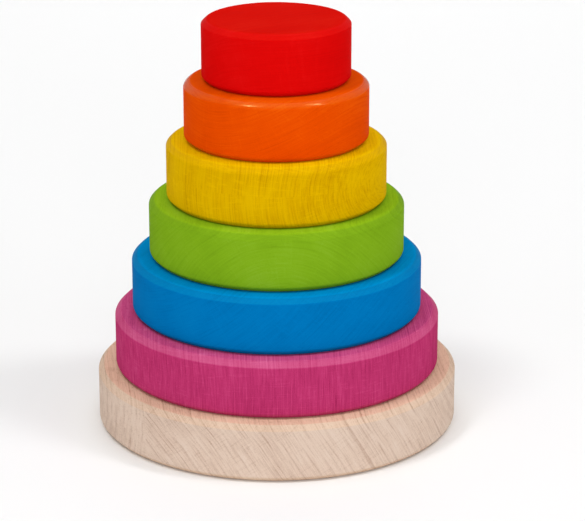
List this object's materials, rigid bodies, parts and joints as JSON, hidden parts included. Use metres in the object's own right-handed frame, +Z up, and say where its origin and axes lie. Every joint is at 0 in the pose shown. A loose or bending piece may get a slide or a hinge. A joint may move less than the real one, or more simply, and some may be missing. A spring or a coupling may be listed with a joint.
{
  "type": "stacking ring toy",
  "caption": "Wooden stacking toy: a round base with a glued centre peg carries lift-off stained rings of falling diameter, topped by a closed cap.",
  "frame": {"origin": "centre of the base's underside", "axes": "+Z up along the peg, from the base to the cap. Every piece is a turned shape about Z."},
  "size_m": [0.15, 0.15, 0.1715],
  "materials": {
    "base_beech": "matte",
    "peg_beech": "matte",
    "purple_stain": "satin",
    "blue_stain": "satin",
    "green_stain": "satin",
    "yellow_stain": "satin",
    "orange_stain": "satin",
    "red_stain": "satin"
  },
  "bodies": {
    "stand": {"base": "base_beech", "peg": "peg_beech"},
    "purple_ring": {"purple_ring": "purple_stain"},
    "blue_ring": {"blue_ring": "blue_stain"},
    "green_ring": {"green_ring": "green_stain"},
    "yellow_ring": {"yellow_ring": "yellow_stain"},
    "orange_ring": {"orange_ring": "orange_stain"},
    "red_cap": {"red_cap": "red_stain"}
  },
  "joints": [
    {"name": "purple_ring_lift", "type": "slide", "parent": "stand", "child": "purple_ring", "axis": [0, 0, 1], "range_m": [0, 0.14]},
    {"name": "blue_ring_lift", "type": "slide", "parent": "purple_ring", "child": "blue_ring", "axis": [0, 0, 1], "range_m": [0, 0.116]},
    {"name": "green_ring_lift", "type": "slide", "parent": "blue_ring", "child": "green_ring", "axis": [0, 0, 1], "range_m": [0, 0.092]},
    {"name": "yellow_ring_lift", "type": "slide", "parent": "green_ring", "child": "yellow_ring", "axis": [0, 0, 1], "range_m": [0, 0.068]},
    {"name": "orange_ring_lift", "type": "slide", "parent": "yellow_ring", "child": "orange_ring", "axis": [0, 0, 1], "range_m": [0, 0.043]},
    {"name": "red_cap_lift", "type": "slide", "parent": "orange_ring", "child": "red_cap", "axis": [0, 0, 1], "range_m": [0, 0.018]}
  ]
}
